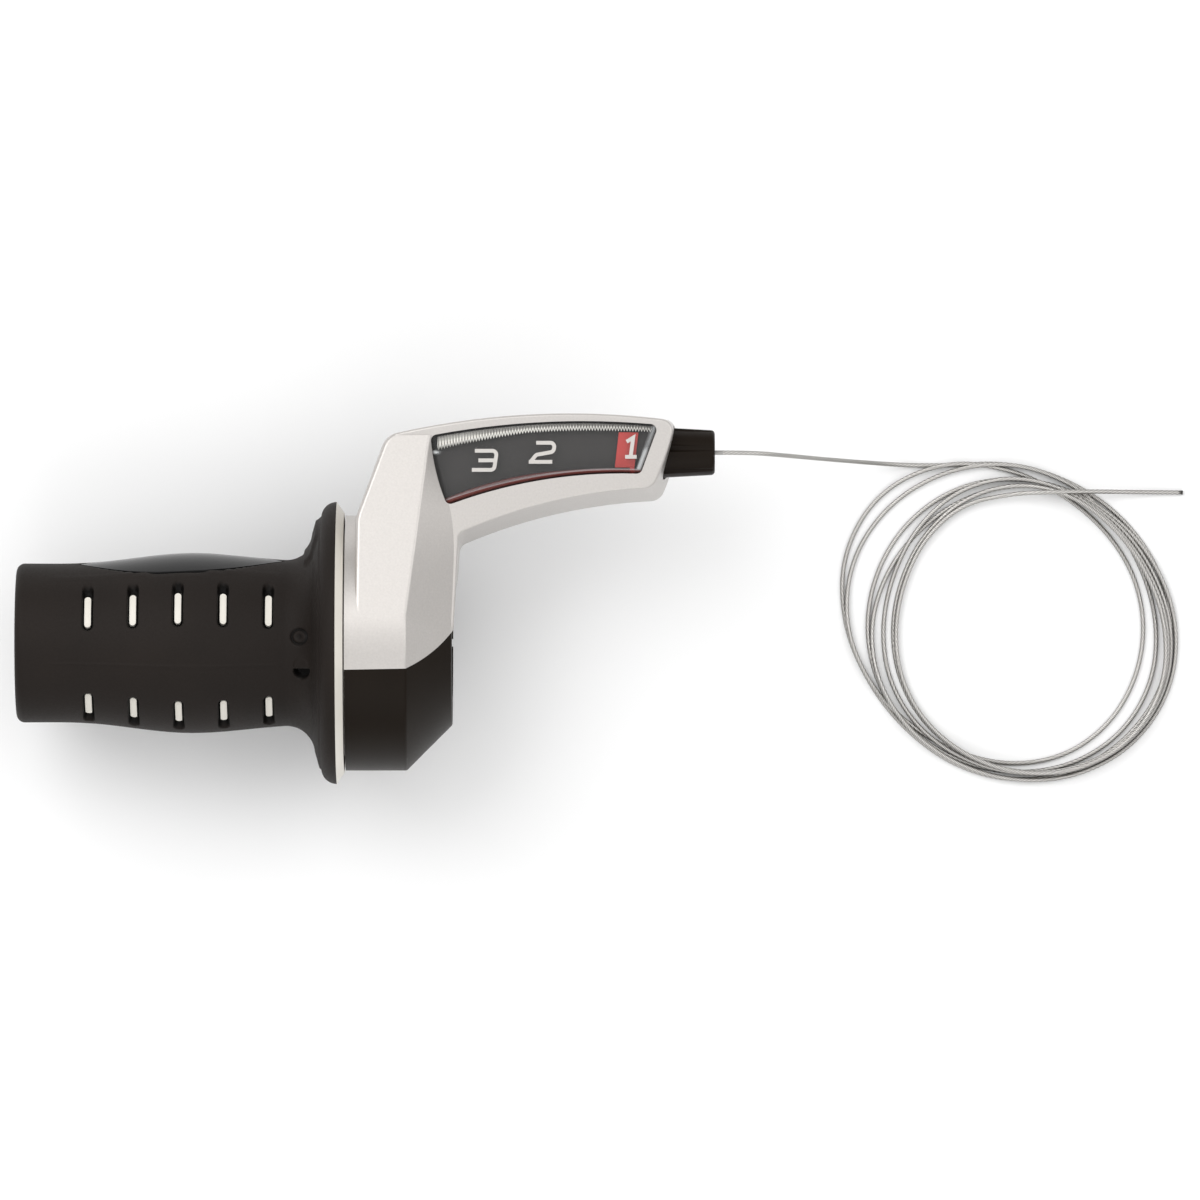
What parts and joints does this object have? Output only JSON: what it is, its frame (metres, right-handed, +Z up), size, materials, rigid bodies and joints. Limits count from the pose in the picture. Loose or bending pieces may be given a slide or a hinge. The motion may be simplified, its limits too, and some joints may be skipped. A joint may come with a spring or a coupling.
{
  "type": "twist grip shifter",
  "caption": "Twist grip shifter: rubber grip turning in a bar-clamped housing, window with a sliding red marker, barrel adjuster and coiled inner cable.",
  "frame": {"origin": "on the handlebar axis at the clamp's inboard end face", "axes": "+X along the handlebar, towards the stem; +Y forward; +Z up, the way the window faces"},
  "size_m": [0.2342, 0.0749, 0.0564],
  "materials": {
    "black_plastic": "fine matte moulding",
    "silver_paint": "satin silver paint",
    "clear_window": "clear, polished",
    "clear_strip": "clear ribbed moulding",
    "white_print": "printed",
    "dial_grey": "smooth dark grey",
    "red_filament": "drawn filament",
    "red_marker": "smooth",
    "white_liner": "smooth low-friction liner",
    "brass": "turned",
    "spring_steel": "bright spring steel",
    "screw_steel": "dark zinc plated",
    "cable_steel": "stranded steel wire",
    "cast_zinc": "cast",
    "cream_plastic": "satin cream-white moulding",
    "black_rubber": "soft matte rubber",
    "gloss_black": "glossy, blank"
  },
  "bodies": {
    "housing": {"housing_base": "black_plastic", "housing_cover": "silver_paint", "arm_plate": "black_plastic", "window_lens": "clear_window", "light_strip": "clear_strip", "dial_numerals": "white_print", "dial_plate": "dial_grey", "indicator_line": "red_filament", "cable_guide": "white_liner", "adjuster_insert": "brass", "adjuster_spring": "spring_steel", "detent_spring": "spring_steel", "clamp_bolt": "screw_steel", "clamp_nut": "screw_steel", "small_screws": "screw_steel", "cable_run": "cable_steel", "cable_lead": "cable_steel", "cable_coil": "cable_steel", "cable_tail": "cable_steel"},
    "twist_grip": {"grip_tube": "cream_plastic", "rubber_grip": "black_rubber", "grip_inlay": "gloss_black", "cable_head": "cast_zinc", "cable_wrap": "cable_steel", "retaining_clip": "spring_steel"},
    "indicator": {"indicator_marker": "red_marker"},
    "adjuster_slide": {"adjuster_seat": "white_liner"},
    "adjuster_barrel": {"adjuster_knob": "black_plastic"}
  },
  "joints": [
    {"name": "grip_twist", "type": "hinge", "parent": "housing", "child": "twist_grip", "pos_m": [-0.05, 0, 0], "axis": [1, 0, 0], "range_deg": [0, 90], "deforming": ["indicator_line", "detent_spring"]},
    {"name": "indicator_swing", "type": "hinge", "parent": "housing", "child": "indicator", "pos_m": [0.033, -0.115, 0.0133], "axis": [0, 0, 1], "range_deg": [0, 10.67]},
    {"name": "adjuster_travel", "type": "slide", "parent": "housing", "child": "adjuster_slide", "axis": [1, 0, 0], "range_m": [0, 0.0032], "deforming": ["adjuster_spring"]},
    {"name": "adjuster_turn", "type": "hinge", "parent": "adjuster_slide", "child": "adjuster_barrel", "pos_m": [0.047, 0.038, 0.0075], "axis": [1, 0, 0], "range_deg": [0, 1440]}
  ],
  "couplings": [
    {"joint": "indicator_swing", "follows": "grip_twist", "ratio": 0.11855},
    {"joint": "adjuster_turn", "follows": "adjuster_travel", "rad_per_m": 7854}
  ]
}
